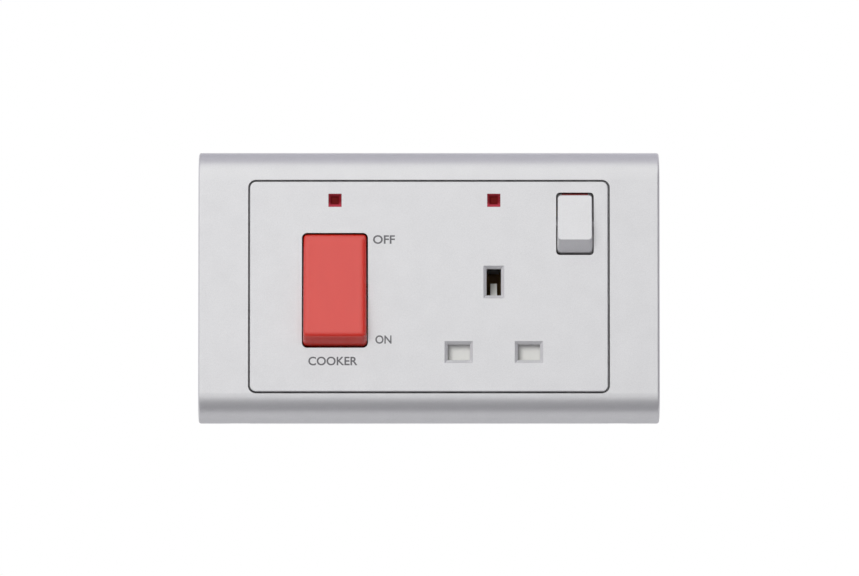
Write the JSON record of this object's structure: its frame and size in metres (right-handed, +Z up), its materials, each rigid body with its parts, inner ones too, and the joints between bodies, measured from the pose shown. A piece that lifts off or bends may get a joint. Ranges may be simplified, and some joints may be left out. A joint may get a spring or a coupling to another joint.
{
  "type": "cooker control unit",
  "caption": "Wall plate with a red double-pole cooker rocker, a shuttered switched socket, neon indicators, a clip-on surround and a rear base with terminals.",
  "frame": {"origin": "midway between the two fixing holes, in the plane of the wall", "axes": "+X along the plate to the viewer's right, +Y into the wall, +Z up"},
  "size_m": [0.146, 0.0423, 0.086],
  "materials": {
    "silver_plastic": "satin silver",
    "red_plastic": "gloss moulded",
    "neon_lens": "tinted clear",
    "base_plastic": "matt moulded",
    "shutter_plastic": "satin moulded",
    "brass": "pressed",
    "copper": "rolled strip",
    "steel": "zinc plated",
    "nylon": "moulded",
    "lamp_glass": "clear",
    "resistor": "lacquered",
    "tinned_wire": "tinned"
  },
  "bodies": {
    "housing": {"surround_frame": "silver_plastic", "front_plate": "silver_plastic", "rear_base": "base_plastic", "base_screws": "steel", "terminal_screws": "steel", "supply_live_terminal": "brass", "supply_neutral_terminal": "brass", "load_live_terminal": "brass", "load_neutral_terminal": "brass", "supply_earth_terminal": "brass", "load_earth_terminal": "brass", "supply_live_bar": "brass", "supply_neutral_bar": "brass", "load_live_bar": "brass", "load_neutral_bar": "brass", "live_link": "brass", "neutral_link": "brass", "earth_strap": "brass", "socket_live_bar": "brass", "socket_live_contact": "brass", "socket_neutral_contact": "brass", "socket_earth_contact": "brass", "shutter_spring": "steel", "cooker_neon_lens": "neon_lens", "socket_neon_lens": "neon_lens", "cooker_neon_lamp": "lamp_glass", "socket_neon_lamp": "lamp_glass", "cooker_neon_resistor": "resistor", "socket_neon_resistor": "resistor", "cooker_neon_lead": "tinned_wire", "socket_neon_lead": "tinned_wire"},
    "cooker_rocker": {"cooker_rocker": "red_plastic", "cooker_live_spring": "steel", "cooker_neutral_spring": "steel"},
    "cooker_live_plunger": {"cooker_live_plunger": "nylon"},
    "cooker_neutral_plunger": {"cooker_neutral_plunger": "nylon"},
    "cooker_live_contact": {"cooker_live_contact": "copper"},
    "cooker_neutral_contact": {"cooker_neutral_contact": "copper"},
    "socket_rocker": {"socket_rocker": "silver_plastic", "socket_rocker_flag": "red_plastic", "socket_spring": "steel"},
    "socket_plunger": {"socket_plunger": "nylon"},
    "socket_switch_contact": {"socket_switch_contact": "copper"},
    "shutter": {"shutter": "shutter_plastic"}
  },
  "joints": [
    {"name": "cooker_switch", "type": "hinge", "parent": "housing", "child": "cooker_rocker", "pos_m": [-0.02975, -0.0035, -0.0012], "axis": [1, 0, 0], "range_deg": [0, 18]},
    {"name": "cooker_live_press", "type": "slide", "parent": "cooker_rocker", "child": "cooker_live_plunger", "axis": [0, -0.9877, 0.1564], "range_m": [0, 0.0006], "stiffness_N_per_m": 300, "springref_m": -0.008, "deforming": ["cooker_live_spring"]},
    {"name": "cooker_neutral_press", "type": "slide", "parent": "cooker_rocker", "child": "cooker_neutral_plunger", "axis": [0, -0.9877, 0.1564], "range_m": [0, 0.0006], "stiffness_N_per_m": 300, "springref_m": -0.008, "deforming": ["cooker_neutral_spring"]},
    {"name": "cooker_live_seesaw", "type": "hinge", "parent": "housing", "child": "cooker_live_contact", "pos_m": [-0.02425, 0.0085, -0.0012], "axis": [1, 0, 0], "range_deg": [-14, 0]},
    {"name": "cooker_neutral_seesaw", "type": "hinge", "parent": "housing", "child": "cooker_neutral_contact", "pos_m": [-0.03525, 0.0085, -0.0012], "axis": [1, 0, 0], "range_deg": [-14, 0]},
    {"name": "socket_switch", "type": "hinge", "parent": "housing", "child": "socket_rocker", "pos_m": [0.0462, -0.0055, 0.0199], "axis": [1, 0, 0], "range_deg": [0, 27]},
    {"name": "socket_press", "type": "slide", "parent": "socket_rocker", "child": "socket_plunger", "axis": [0, -0.9724, 0.2334], "range_m": [0, 0.0006], "stiffness_N_per_m": 300, "springref_m": -0.008, "deforming": ["socket_spring"]},
    {"name": "socket_seesaw", "type": "hinge", "parent": "housing", "child": "socket_switch_contact", "pos_m": [0.0462, 0.0085, 0.0199], "axis": [1, 0, 0], "range_deg": [-12, 0]},
    {"name": "shutter_slide", "type": "slide", "parent": "housing", "child": "shutter", "axis": [0, 0, -1], "range_m": [0, 0.0052], "stiffness_N_per_m": 100, "springref_m": -0.003, "deforming": ["shutter_spring"]}
  ],
  "couplings": [
    {"joint": "cooker_live_seesaw", "follows": "cooker_switch", "ratio": -0.7777},
    {"joint": "cooker_neutral_seesaw", "follows": "cooker_switch", "ratio": -0.7777},
    {"joint": "socket_seesaw", "follows": "socket_switch", "ratio": -0.4444}
  ]
}
